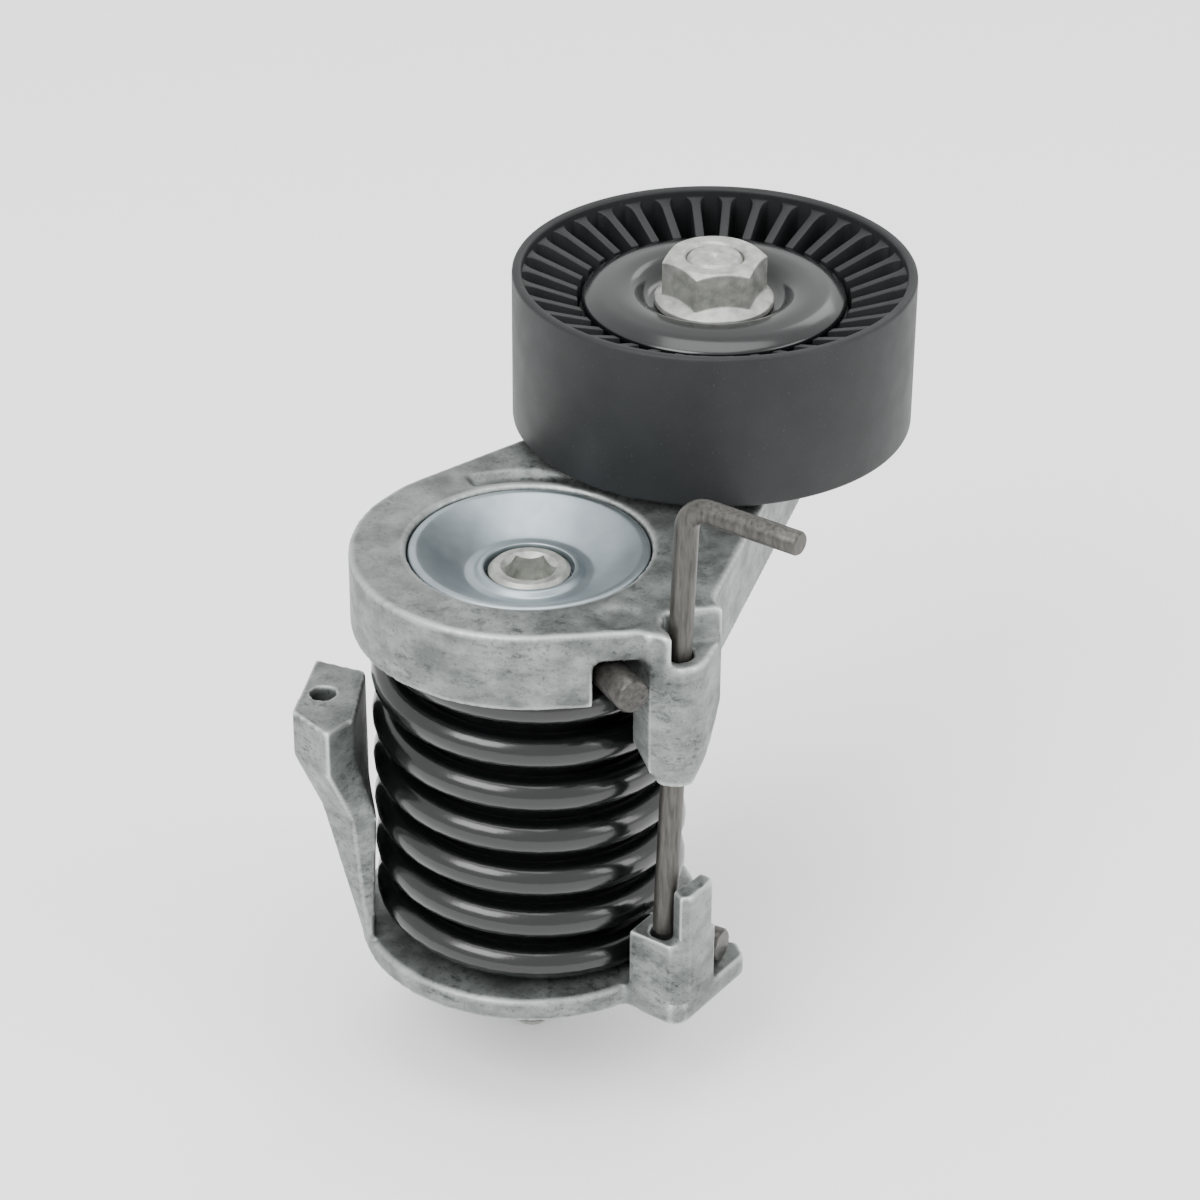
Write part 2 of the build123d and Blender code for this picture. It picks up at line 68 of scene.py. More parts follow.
# where the camera stands, in the object's own frame
cameraView = {
    "azimuth": 35.3,
    "elevation": 30.56,
    "roll": 0.33,
    "distance": 602.3 * mm,
    "aim": (12.2 * mm, 3.2 * mm, 68.0 * mm),
    "lens": 108.93,
}


def tint(code):
    channels = []
    for start in (0, 2, 4):
        value = int(code[start:start + 2], 16) / 255
        channels.append(value / 12.92 if value <= 0.04045 else ((value + 0.055) / 1.055) ** 2.4)
    return (*channels, 1.0)


def newMaterial(name):
    material = bpy.data.materials.new(name)
    material.use_nodes = True
    return material


def shaderOf(material):
    return material.node_tree.nodes["Principled BSDF"]


def addNode(material, kind, inputs=None, **settings):
    node = material.node_tree.nodes.new(kind)
    for key, value in settings.items():
        setattr(node, key, value)
    for key, value in (inputs or {}).items():
        if isinstance(value, bpy.types.NodeSocket):
            material.node_tree.links.new(value, node.inputs[key])
        else:
            node.inputs[key].default_value = value
    return node


def link(material, socket, name):
    material.node_tree.links.new(socket, shaderOf(material).inputs[name])


def perMetre(size):
    return 1 / (size * mm)


def noise(material, size, detail=3, roughness=0.55, stretch=(1, 1, 1)):
    # size is the pattern's own size in millimetres
    place = addNode(material, "ShaderNodeTexCoord")
    mapping = addNode(material, "ShaderNodeMapping", {"Vector": place.outputs["Object"], "Scale": stretch})
    texture = addNode(material, "ShaderNodeTexNoise", {
        "Vector": mapping.outputs["Vector"],
        "Scale": perMetre(size),
        "Detail": detail,
        "Roughness": roughness,
    })
    return texture.outputs["Fac"]


def ramp(material, factor, low, high, lowColour, highColour):
    node = addNode(material, "ShaderNodeValToRGB", {"Fac": factor})
    node.color_ramp.elements[0].position = low
    node.color_ramp.elements[0].color = lowColour
    node.color_ramp.elements[1].position = high
    node.color_ramp.elements[1].color = highColour
    return node.outputs["Color"]


def mixColour(material, factor, first, second, way="MIX"):
    node = addNode(material, "ShaderNodeMix", data_type="RGBA", blend_type=way)
    node.inputs[0].default_value = 1.0
    if isinstance(factor, bpy.types.NodeSocket):
        material.node_tree.links.new(factor, node.inputs[0])
    else:
        node.inputs[0].default_value = factor
    for index, value in ((6, first), (7, second)):
        if isinstance(value, bpy.types.NodeSocket):
            material.node_tree.links.new(value, node.inputs[index])
        else:
            node.inputs[index].default_value = value
    return node.outputs[2]


def spread(material, factor, low, high):
    node = addNode(material, "ShaderNodeMapRange", {"Value": factor, "To Min": low, "To Max": high})
    return node.outputs["Result"]


def bump(material, height, strength, depth):
    node = addNode(material, "ShaderNodeBump", {
        "Height": height,
        "Strength": strength,
        "Distance": depth * mm,
    })
    link(material, node.outputs["Normal"], "Normal")


def dieCastAluminium():
    # die-cast and tumbled: flow mottling and small dark stains; convex edges carry a painted highlight
    material = newMaterial("dieCastAluminium")
    shader = shaderOf(material)
    clouds = noise(material, 7.0, 5, 0.62, (1, 1, 1.6))
    base = ramp(material, clouds, 0.36, 0.68, tint("5f6361"), tint("8f9492"))
    stains = noise(material, 1.7, 6, 0.72, (1, 1, 1.8))
    dark = ramp(material, stains, 0.36, 0.50, (0.26, 0.28, 0.28, 1), (1, 1, 1, 1))
    region = ramp(material, noise(material, 15.0, 2), 0.42, 0.62, (0, 0, 0, 1), (1, 1, 1, 1))
    stained = mixColour(material, region, base, mixColour(material, 0.85, base, dark, "MULTIPLY"))
    speck = ramp(material, noise(material, 0.55, 2), 0.30, 0.40, (0.5, 0.52, 0.52, 1), (1, 1, 1, 1))
    specked = mixColour(material, 0.7, stained, speck, "MULTIPLY")
    # painted highlight: convex edges are lightened toward c9cdcb in the colour
    edges = addNode(material, "ShaderNodeNewGeometry").outputs["Pointiness"]
    paintedEdgeHighlight = ramp(material, edges, 0.515, 0.56, (0, 0, 0, 1), (1, 1, 1, 1))
    colour = mixColour(material, paintedEdgeHighlight, specked, tint("c9cdcb"))
    link(material, colour, "Base Color")
    shader.inputs["Metallic"].default_value = 0.82
    link(material, spread(material, stains, 0.36, 0.62), "Roughness")
    grain = addNode(material, "ShaderNodeMath", {0: noise(material, 0.45, 3), 1: stains}, operation="ADD")
    bump(material, grain.outputs[0], 0.32, 0.12)
    return material


def zincPlatedSheet():
    # pressed steel sheet with a thin bluish zinc plating
    material = newMaterial("zincPlatedSheet")
    shader = shaderOf(material)
    clouds = noise(material, 9.0, 3)
    link(material, ramp(material, clouds, 0.3, 0.7, tint("8e999e"), tint("a5afb4")), "Base Color")
    shader.inputs["Metallic"].default_value = 0.95
    link(material, spread(material, noise(material, 2.2, 4), 0.36, 0.48), "Roughness")
    bump(material, noise(material, 0.5, 2), 0.10, 0.03)
    return material


def zincFlake():
    # cold-headed fasteners dipped in zinc flake
    material = newMaterial("zincFlake")
    shader = shaderOf(material)
    clouds = noise(material, 2.4, 5, 0.65)
    link(material, ramp(material, clouds, 0.32, 0.68, tint("8b8d88"), tint("babcb6")), "Base Color")
    shader.inputs["Metallic"].default_value = 0.72
    link(material, spread(material, clouds, 0.36, 0.55), "Roughness")
    bump(material, noise(material, 0.35, 3), 0.25, 0.06)
    return material


def blackSpringPaint():
    # thick gloss paint on shot-peened wire, with orange peel; the cut ends are left bare
    material = newMaterial("blackSpringPaint")
    shader = shaderOf(material)
    place = addNode(material, "ShaderNodeTexCoord")
    split = addNode(material, "ShaderNodeSeparateXYZ", {"Vector": place.outputs["Object"]})
    flat = addNode(material, "ShaderNodeCombineXYZ", {"X": split.outputs["X"], "Y": split.outputs["Y"]})
    reach = addNode(material, "ShaderNodeVectorMath", {0: flat.outputs["Vector"]}, operation="LENGTH")
    bare = addNode(material, "ShaderNodeMapRange", {
        "Value": reach.outputs["Value"],
        "From Min": 28.2 * mm,
        "From Max": 29.6 * mm,
    }).outputs["Result"]
    wire = ramp(material, noise(material, 0.9, 4), 0.3, 0.7, tint("2c2b29"), tint("4b4946"))
    link(material, mixColour(material, bare, tint("0a0c0c"), wire), "Base Color")
    metal = addNode(material, "ShaderNodeMath", {0: bare, 1: 0.75}, operation="MULTIPLY")
    link(material, metal.outputs[0], "Metallic")
    gloss = spread(material, noise(material, 6.0, 3), 0.16, 0.27)
    dull = addNode(material, "ShaderNodeMix", {0: bare, 2: gloss, 3: 0.42})
    link(material, dull.outputs[0], "Roughness")
    shader.inputs["Coat Weight"].default_value = 0.25
    shader.inputs["Coat Roughness"].default_value = 0.12
    bump(material, noise(material, 0.75, 2), 0.30, 0.07)
    return material


def phosphatedWire():
    # drawn steel wire, phosphated dark grey
    material = newMaterial("phosphatedWire")
    shader = shaderOf(material)
    streaks = noise(material, 0.6, 4, 0.6, (1, 1, 0.12))
    link(material, ramp(material, streaks, 0.3, 0.72, tint("3b3a37"), tint("5d5b57")), "Base Color")
    shader.inputs["Metallic"].default_value = 0.8
    link(material, spread(material, streaks, 0.34, 0.5), "Roughness")
    bump(material, noise(material, 0.3, 3), 0.18, 0.04)
    return material


def blackMouldedNylon():
    # glass-filled nylon straight from the mould, with a little handling dust
    material = newMaterial("blackMouldedNylon")
    shader = shaderOf(material)
    dust = ramp(material, noise(material, 0.35, 2), 0.68, 0.74, (0, 0, 0, 1), (1, 1, 1, 1))
    body = ramp(material, noise(material, 12.0, 4), 0.3, 0.7, tint("101213"), tint("191b1c"))
    link(material, mixColour(material, dust, body, tint("303333")), "Base Color")
    link(material, spread(material, noise(material, 5.0, 4), 0.46, 0.62), "Roughness")
    shader.inputs["Specular IOR Level"].default_value = 0.35
    bump(material, noise(material, 0.4, 3), 0.18, 0.05)
    return material


def blackShieldPaint():
    # pressed steel, coated gloss black
    material = newMaterial("blackShieldPaint")
    shader = shaderOf(material)
    clouds = noise(material, 5.0, 3)
    link(material, ramp(material, clouds, 0.3, 0.7, tint("080a0b"), tint("0e1112")), "Base Color")
    link(material, spread(material, noise(material, 3.0, 3), 0.17, 0.26), "Roughness")
    shader.inputs["Coat Weight"].default_value = 0.15
    shader.inputs["Coat Roughness"].default_value = 0.08
    bump(material, noise(material, 1.6, 2), 0.10, 0.04)
    return material


def mouldedPolymer(name, dark, light, size=3.0):
    # small moulded parts that sit inside, each with its own colour
    material = newMaterial(name)
    link(material, ramp(material, noise(material, size, 3), 0.3, 0.7, tint(dark), tint(light)), "Base Color")
    link(material, spread(material, noise(material, size / 2, 3), 0.45, 0.6), "Roughness")
    bump(material, noise(material, 0.4, 2), 0.15, 0.04)
    return material


def groundSteel():
    # bearing and shaft steel, ground and lightly oiled
    material = newMaterial("groundSteel")
    shader = shaderOf(material)
    rings = noise(material, 0.4, 3, 0.5, (0.2, 0.2, 1))
    link(material, ramp(material, rings, 0.3, 0.7, tint("a6a8aa"), tint("c6c8ca")), "Base Color")
    shader.inputs["Metallic"].default_value = 1.0
    link(material, spread(material, rings, 0.14, 0.26), "Roughness")
    bump(material, rings, 0.06, 0.02)
    return material


finishes = {
    "cast_aluminium": dieCastAluminium(),
    "zinc_sheet": zincPlatedSheet(),
    "zinc_bolt": zincFlake(),
    "black_spring_steel": blackSpringPaint(),
    "pin_steel": phosphatedWire(),
    "shaft_steel": groundSteel(),
    "bush_polymer": mouldedPolymer("bronzeFilledBush", "5a5142", "6d6350"),
    "liner_nylon": mouldedPolymer("blackGuideNylon", "0c0d0d", "141616"),
    "friction_polymer": mouldedPolymer("darkFrictionPolymer", "1d1a17", "2a2622"),
    "pulley_plastic": blackMouldedNylon(),
    "bearing_steel": groundSteel(),
    "cage_polymer": mouldedPolymer("brownCagePolymer", "6b4a26", "7d5930"),
    "seal_rubber": mouldedPolymer("sealRubber", "1a1716", "241f1e"),
    "black_shield_steel": blackShieldPaint(),
}
slotOf = {entry["node"]: entry["material_slot"] for entry in frame["record"]["subparts"]}
bodyOf = {node: body for body, nodes in frame["record"]["behaviour"]["bodies"].items() for node in nodes}
print("materials made")


def paint(piece, material):
    piece.data.materials.clear()
    piece.data.materials.append(material)


for node, cadObject in frame["nodes"].items():
    paint(cadObject, finishes[slotOf[node]])


def deselect():
    bpy.ops.object.select_all(action="DESELECT")


def pick(piece):
    deselect()
    piece.select_set(True)
    bpy.context.view_layer.objects.active = piece


def applyModifier(piece, kind, **settings):
    pick(piece)
    bpy.ops.object.modifier_add(type=kind)
    modifier = piece.modifiers[-1]
    for key, value in settings.items():
        setattr(modifier, key, value)
    bpy.ops.object.modifier_apply(modifier=modifier.name)


def settle(piece, name, node, body=None):
    # gives a finished piece its name, finish and body, in place of its node
    piece.name = name
    piece.data.name = name
    pick(piece)
    bpy.ops.object.transform_apply(location=True, rotation=True, scale=True)
    paint(piece, finishes[slotOf[node]])
    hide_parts(node)
    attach(piece, body or bodyOf[node])
    print(name, len(piece.data.polygons))


def smoothByAngle(piece, degrees=35):
    pick(piece)
    bpy.ops.object.shade_smooth_by_angle(angle=math.radians(degrees))


def turnedPiece(place, profile, sides=144):
    # a closed ring turned about the upright line through place, from radius and height pairs
    radius, height = profile[0]
    deselect()
    bpy.ops.mesh.primitive_circle_add(vertices=sides, radius=radius, location=(*place, height))
    piece = bpy.context.object
    bpy.ops.object.transform_apply(location=True, rotation=True, scale=True)
    bpy.ops.object.mode_set(mode="EDIT")
    bpy.ops.mesh.select_all(action="SELECT")
    for newRadius, newHeight in profile[1:] + profile[:1]:
        scale = newRadius / radius
        bpy.ops.mesh.extrude_region_move(TRANSFORM_OT_translate={"value": (0, 0, newHeight - height)})
        bpy.ops.transform.resize(value=(scale, scale, 1), center_override=(*place, newHeight))
        radius, height = newRadius, newHeight
    bpy.ops.mesh.select_all(action="SELECT")
    bpy.ops.mesh.remove_doubles(threshold=0.002 * mm)
    bpy.ops.mesh.normals_make_consistent(inside=False)
    bpy.ops.object.mode_set(mode="OBJECT")
    return piece


def rounded(profile, radius, steps=3):
    # each corner becomes a small arc, no larger than its sides allow
    points = []
    count = len(profile)
    for index, corner in enumerate(profile):
        here = Vector(corner)
        before = Vector(profile[index - 1]) - here
        after = Vector(profile[(index + 1) % count]) - here
        bend = before.angle(after, 0)
        reach = min(radius, before.length * 0.45, after.length * 0.45)
        if bend > math.radians(172) or reach < 0.01 * mm:
            points.append(corner)
            continue
        start = here + before.normalized() * reach
        end = here + after.normalized() * reach
        for step in range(steps + 1):
            share = step / steps
            first = start.lerp(here, share)
            second = here.lerp(end, share)
            point = first.lerp(second, share)
            points.append((point.x, point.y))
    return points


pulleyLow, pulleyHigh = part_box("pulley_wheel")
pulleyPlace = ((pulleyLow.x + pulleyHigh.x) / 2, (pulleyLow.y + pulleyHigh.y) / 2)
pulleyRadius = (pulleyHigh.x - pulleyLow.x) / 2
pulleyMiddle = (pulleyLow.z + pulleyHigh.z) / 2

# the coil's wire path, as the spring is wound
spring = {
    "wire": 3.0 * mm,
    "coilRadius": 23.9 * mm,
    "pitch": 8.5 * mm,
    "foot": 7.1 * mm,
    "upperTang": -27.2,
    "lowerTang": 7.5,
    "turns": 7,
    "reach": 37.4 * mm,
    "bend": 5.0 * mm,
    "chamfer": 0.4 * mm,
    "endScale": 0.88,
}


def polar(radius, degrees):
    angle = math.radians(degrees)
    return (radius * math.cos(angle), radius * math.sin(angle))


def springPath():
    centre = spring["coilRadius"] + spring["bend"]
    swing = math.degrees(math.asin(spring["bend"] / centre))
    first = spring["upperTang"] + swing
    last = spring["lowerTang"] - swing + 360 * spring["turns"]
    head = spring["foot"] + spring["pitch"] * (last - first) / 360

    def tang(azimuth, side, height):
        x, y = polar(centre, azimuth + side * swing)
        points = []
        for reach in (spring["reach"], spring["reach"] - spring["chamfer"], (spring["reach"] + centre) / 2):
            points.append((*polar(reach, azimuth), height))
        for index in range(9):
            dx, dy = polar(spring["bend"], azimuth - side * (90 + (90 - swing) * index / 9))
            points.append((x + dx, y + dy, height))
        return points

    count = 44 * spring["turns"]
    coil = []
    for index in range(count + 1):
        azimuth = first + (last - first) * index / count
        coil.append((*polar(spring["coilRadius"], azimuth), head - spring["pitch"] * (azimuth - first) / 360))
    return tang(spring["upperTang"], 1, head) + coil + tang(spring["lowerTang"], -1, spring["foot"])[::-1]


def tube(points, radius, endRadius=None, sides=7):
    curve = bpy.data.curves.new("tube", "CURVE")
    curve.dimensions = "3D"
    line = curve.splines.new("POLY")
    line.points.add(len(points) - 1)
    for point, place in zip(line.points, points):
        point.co = (*place, 1)
    if endRadius:
        line.points[0].radius = endRadius
        line.points[-1].radius = endRadius
    curve.bevel_depth = radius
    curve.bevel_resolution = sides
    curve.use_fill_caps = True
    piece = bpy.data.objects.new("tube", curve)
    bpy.context.collection.objects.link(piece)
    pick(piece)
    bpy.ops.object.convert(target="MESH")
    return bpy.context.object


def makeSpring():
    piece = tube(springPath(), spring["wire"], spring["endScale"])
    smoothByAngle(piece, 50)
    piece.name = "torsionSpring"
    paint(piece, finishes["black_spring_steel"])
    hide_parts("torsion_spring")
    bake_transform(piece)
    print("torsionSpring", len(piece.data.polygons))


makeSpring()


def copyOf(node):
    source = frame["nodes"][node]
    deselect()
    piece = source.copy()
    piece.data = source.data.copy()
    piece.parent = None
    for key in list(piece.keys()):
        del piece[key]
    bpy.context.collection.objects.link(piece)
    return piece


def cut(piece, tool):
    applyModifier(piece, "BOOLEAN", operation="DIFFERENCE", object=tool, solver="EXACT")
    bpy.data.objects.remove(tool)


def disc(place, radius, foot, height, sides=64):
    deselect()
    bpy.ops.mesh.primitive_cylinder_add(
        vertices=sides, radius=radius, depth=height, location=(*place, foot + height / 2)
    )
    return bpy.context.object


def castSurface(piece, voxel):
    applyModifier(piece, "REMESH", mode="VOXEL", voxel_size=voxel)
    applyModifier(piece, "SMOOTH", factor=0.5, iterations=5)
    pick(piece)
    bpy.ops.object.shade_smooth()


def curvedRecess(radius, width, fromAzimuth, toAzimuth, floor, top):
    # tool for a shallow recess that follows a circle about the pivot
    steps = 14
    points = [fromAzimuth + (toAzimuth - fromAzimuth) * index / steps for index in range(steps + 1)]
    outline = [polar(radius + width / 2, azimuth) for azimuth in points]
    outline += [polar(radius - width / 2, azimuth) for azimuth in reversed(points)]
    mesh = bpy.data.meshes.new("recess")
    count = len(outline)
    vertices = [(x, y, floor) for x, y in outline] + [(x, y, top) for x, y in outline]
    faces = [list(range(count))[::-1], list(range(count, 2 * count))]
    faces += [[i, (i + 1) % count, count + (i + 1) % count, count + i] for i in range(count)]
    mesh.from_pydata(vertices, [], faces)
    tool = bpy.data.objects.new("recess", mesh)
    bpy.context.collection.objects.link(tool)
    return tool


def ejectorMark(piece, place, radius, top):
    # the shallow round print that an ejector pin leaves in a cast face
    cut(piece, disc(place, radius, top - 0.45 * mm, 2 * mm, 48))


armCast = {
    "top": 76.0 * mm,
    # each recess: radius, width, and the azimuths it runs between
    "recesses": ((24.2 * mm, 3.6 * mm, 108, 151), (27.5 * mm, 3.2 * mm, 33, 52)),
    "recessDepth": 1.3 * mm,
    "markPlace": (25.4 * mm, -10.4 * mm),
    "markRadius": 3.9 * mm,
    "skin": 0.6 * mm,
}


def makeArm():
    piece = copyOf("arm_casting")
    for recess in armCast["recesses"]:
        cut(piece, curvedRecess(*recess, armCast["top"] - armCast["recessDepth"], armCast["top"] + 1 * mm))
    ejectorMark(piece, armCast["markPlace"], armCast["markRadius"], armCast["top"])
    castSurface(piece, armCast["skin"])
    settle(piece, "armCasting", "arm_casting")


baseCast = {
    "postTop": 25.5 * mm,
    "markPlace": (37.9 * mm, -4.6 * mm),
    "markRadius": 1.0 * mm,
    "skin": 0.5 * mm,
}


def makeBase():
    piece = copyOf("base_casting")
    ejectorMark(piece, baseCast["markPlace"], baseCast["markRadius"], baseCast["postTop"])
    castSurface(piece, baseCast["skin"])
    settle(piece, "baseCasting", "base_casting")


makeArm()
makeBase()

rim = {
    "wall": 1.9 * mm,
    "hubInner": 20.0 * mm,
    "hubOuter": 23.4 * mm,
    "hubFoot": 86.5 * mm,
    "hubTop": 98.5 * mm,
    "web": 2.4 * mm,
    "ribs": 36,
    "ribHalf": 0.8 * mm,
    "ribDrop": 1.5 * mm,
    "ribSlope": 3.6 * mm,
    "lip": 0.7 * mm,
    "ribEdge": 0.18 * mm,
}


def ribSection(radius, half):
    # corners of the upper rib and its mirror image below, at that radius
    inner = rim["hubOuter"]
    outer = pulleyRadius - rim["wall"]
    share = (radius - inner) / (outer - inner)
    rise = pulleyHigh.z - pulleyMiddle - rim["ribDrop"] - rim["ribSlope"] * (1 - max(share, 0))
    return [(radius, -half, rise), (radius, half, rise), (radius, half, -rise), (radius, -half, -rise)]


def makeRibs():
    inner = rim["hubOuter"] + 0.3 * mm
    outer = pulleyRadius - rim["wall"]
    half = rim["ribHalf"]
    steps = (
        (inner, half), (outer - 2.4 * mm, half), (outer - 1.1 * mm, half * 1.15),
        (outer - 0.4 * mm, half * 1.5), (outer + 0.3 * mm, half * 2.3),
    )
    vertices = [corner for radius, width in steps for corner in ribSection(radius, width)]
    faces = [[0, 1, 2, 3], [len(vertices) - 1 - index for index in range(4)]]
    for step in range(len(steps) - 1):
        for side in range(4):
            first = 4 * step + side
            second = 4 * step + (side + 1) % 4
            faces.append([first, first + 4, second + 4, second])
    mesh = bpy.data.meshes.new("rib")
    mesh.from_pydata(vertices, [], faces)
    rib = bpy.data.objects.new("rib", mesh)
    bpy.context.collection.objects.link(rib)
    applyModifier(rib, "BEVEL", width=rim["ribEdge"], segments=2, limit_method="ANGLE")
    ribs = [rib]
    for index in range(1, rim["ribs"]):
        other = rib.copy()
        other.data = rib.data.copy()
        bpy.context.collection.objects.link(other)
        other.rotation_euler.z = 2 * math.pi * index / rim["ribs"]
        ribs.append(other)
    for each in ribs:
        each.location = (*pulleyPlace, pulleyMiddle)
    return ribs


def join(pieces):
    deselect()
    for piece in pieces:
        piece.select_set(True)
    bpy.context.view_layer.objects.active = pieces[0]
    bpy.ops.object.join()
    return bpy.context.object


def makePulley():
    bore = pulleyRadius - rim["wall"]
    webFoot = pulleyMiddle - rim["web"] / 2
    webTop = pulleyMiddle + rim["web"] / 2
    profile = [
        (rim["hubInner"], rim["hubFoot"]), (rim["hubOuter"], rim["hubFoot"]), (rim["hubOuter"], webFoot),
        (bore, webFoot), (bore + 0.15 * mm, pulleyLow.z), (pulleyRadius, pulleyLow.z),
        (pulleyRadius, pulleyHigh.z), (bore + 0.15 * mm, pulleyHigh.z), (bore, webTop),
        (rim["hubOuter"], webTop), (rim["hubOuter"], rim["hubTop"]), (rim["hubInner"], rim["hubTop"]),
    ]
    ring = turnedPiece(pulleyPlace, rounded(profile, rim["lip"], 4), 192)
    smoothByAngle(ring, 40)
    wheel = join([ring] + makeRibs())
    settle(wheel, "pulleyWheel", "pulley_wheel")
    smoothByAngle(wheel, 40)


frontShield = {
    "stud": 5.0 * mm,
    "seat": 12.4 * mm,
    "crest": 16.8 * mm,
    "shoulder": 20.6 * mm,
    "edge": 23.0 * mm,
    "sheet": 1.0 * mm,
    "fold": 1.5 * mm,
}


def makeFrontShield():
    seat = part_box("flange_nut")[0].z
    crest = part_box("front_shield")[1].z
    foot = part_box("front_shield")[0].z
    stud = frontShield["stud"]
    edge = frontShield["edge"]
    middle = frontShield["crest"]
    shoulder = frontShield["shoulder"]
    under = crest - frontShield["sheet"]
    profile = [
        (stud, foot), (frontShield["seat"], foot), (14.3 * mm, under - 0.6 * mm), (middle, under),
        (shoulder, under - 0.9 * mm), (edge, under - 2.4 * mm),
        (edge, crest - 1.9 * mm), (shoulder, crest - 0.5 * mm), (middle, crest),
        (13.6 * mm, crest - 0.6 * mm), (frontShield["seat"] - 0.4 * mm, seat), (stud, seat),
    ]
    piece = turnedPiece(pulleyPlace, rounded(profile, frontShield["fold"], 6), 160)
    smoothByAngle(piece, 50)
    settle(piece, "frontShield", "front_shield")


rearShield = {
    "stud": 5.0 * mm,
    "seat": 12.5 * mm,
    "edge": 22.9 * mm,
    "sheet": 1.0 * mm,
    "seatSheet": 1.1 * mm,
    "fold": 1.2 * mm,
}


def makeRearShield():
    low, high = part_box("rear_shield")
    stud = rearShield["stud"]
    seat = rearShield["seat"]
    edge = rearShield["edge"]
    under = high.z - rearShield["seatSheet"]
    profile = [
        (stud, under), (seat, under), (edge, low.z),
        (edge, low.z + rearShield["sheet"]), (seat, high.z), (stud, high.z),
    ]
    piece = turnedPiece(pulleyPlace, rounded(profile, rearShield["fold"], 4), 128)
    smoothByAngle(piece, 50)
    settle(piece, "rearShield", "rear_shield")


endCap = {
    "sheet": 1.5 * mm,
    "rim": 20.2 * mm,
    "knee": 18.9 * mm,
    "seat": 10.8 * mm,
    "hole": 7.6 * mm,
    "lip": 0.9 * mm,
    "edge": 0.4 * mm,
    # how hollow the dished face is; 1 would be a plain cone
    "dish": 1.12,
}


def makeEndCap():
    low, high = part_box("end_cap")
    sheet = endCap["sheet"]
    outer = endCap["rim"]
    knee = endCap["knee"]
    seat = endCap["seat"]
    hole = endCap["hole"]
    lip = endCap["lip"]
    edge = endCap["edge"]
    seatTop = low.z + sheet
    face = []
    steps = 10
    for index in range(steps + 1):
        share = 1 - index / steps
        face.append((seat + (knee - seat) * share, seatTop + (high.z - seatTop) * share ** endCap["dish"]))
    profile = [(hole, low.z), (seat, low.z), (knee, high.z - sheet), (outer, high.z - sheet)]
    profile += [(outer, high.z - edge), (outer - edge, high.z)] + face
    profile += [(hole + 1.7 * mm, seatTop), (hole + lip, seatTop + lip), (hole, seatTop + lip)]
    piece = turnedPiece((0, 0), rounded(profile, 0.3 * mm, 3), 160)
    smoothByAngle(piece, 30)
    settle(piece, "endCap", "end_cap")


def hexPrism(place, flats, foot, height, turn=0):
    deselect()
    bpy.ops.mesh.primitive_cylinder_add(
        vertices=6, radius=flats / math.sqrt(3), depth=height,
        location=(*place, foot + height / 2), rotation=(0, 0, math.radians(turn)),
    )
    return bpy.context.object


mountingBolt = {
    "shank": 4.0 * mm,
    "neck": 3.6 * mm,
    "head": 6.9 * mm,
    "headHeight": 8.0 * mm,
    "point": 0.9 * mm,
    "chamfer": 0.7 * mm,
    "pitch": 1.25 * mm,
    "turns": 14,
    "threadDepth": 0.7 * mm,
    "flats": 8.0 * mm,
    "socketDepth": 5.0 * mm,
    "socketTurn": 5.3,
}
# where a turned profile closes on its own axis
axis = 0.01 * mm


def makeMountingBolt():
    low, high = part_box("mounting_bolt")
    shank = mountingBolt["shank"]
    neck = mountingBolt["neck"]
    head = mountingBolt["head"]
    point = mountingBolt["point"]
    chamfer = mountingBolt["chamfer"]
    pitch = mountingBolt["pitch"]
    root = shank - mountingBolt["threadDepth"]
    crest = shank - 0.05 * mm
    seat = high.z - mountingBolt["headHeight"]
    profile = [(axis, low.z), (shank - 1.0 * mm, low.z), (shank - 0.1 * mm, low.z + point)]
    for index in range(mountingBolt["turns"]):
        foot = low.z + point + pitch * index
        profile += [(crest, foot + 0.1 * mm), (crest, foot + 0.35 * mm)]
        profile += [(root, foot + 0.75 * mm), (root, foot + 0.9 * mm)]
    profile += [(shank - 0.02 * mm, low.z + point + pitch * (mountingBolt["turns"] + 0.4)), (shank, 0)]
    profile += [(neck, 0), (neck, seat), (head, seat)]
    profile += [(head, high.z - chamfer), (head - chamfer, high.z), (axis, high.z)]
    piece = turnedPiece((0, 0), profile, 96)
    socketFloor = high.z - mountingBolt["socketDepth"]
    cut(piece, hexPrism((0, 0), mountingBolt["flats"], socketFloor, 6.0 * mm, mountingBolt["socketTurn"]))
    lead = turnedPiece((0, 0), [
        (axis, high.z - 0.9 * mm), (4.0 * mm, high.z - 0.9 * mm),
        (4.95 * mm, high.z + 0.1 * mm), (axis, high.z + 0.1 * mm),
    ], 96)
    cut(piece, lead)
    smoothByAngle(piece, 30)
    settle(piece, "mountingBolt", "mounting_bolt")


flangeNut = {
    "flats": 16.0 * mm,
    "flange": 10.4 * mm,
    "flangeEdge": 1.0 * mm,
    "flangeHeight": 2.6 * mm,
    "bore": 5.05 * mm,
    "lead": 5.75 * mm,
    "turn": 13.8,
    "skin": 0.16 * mm,
}


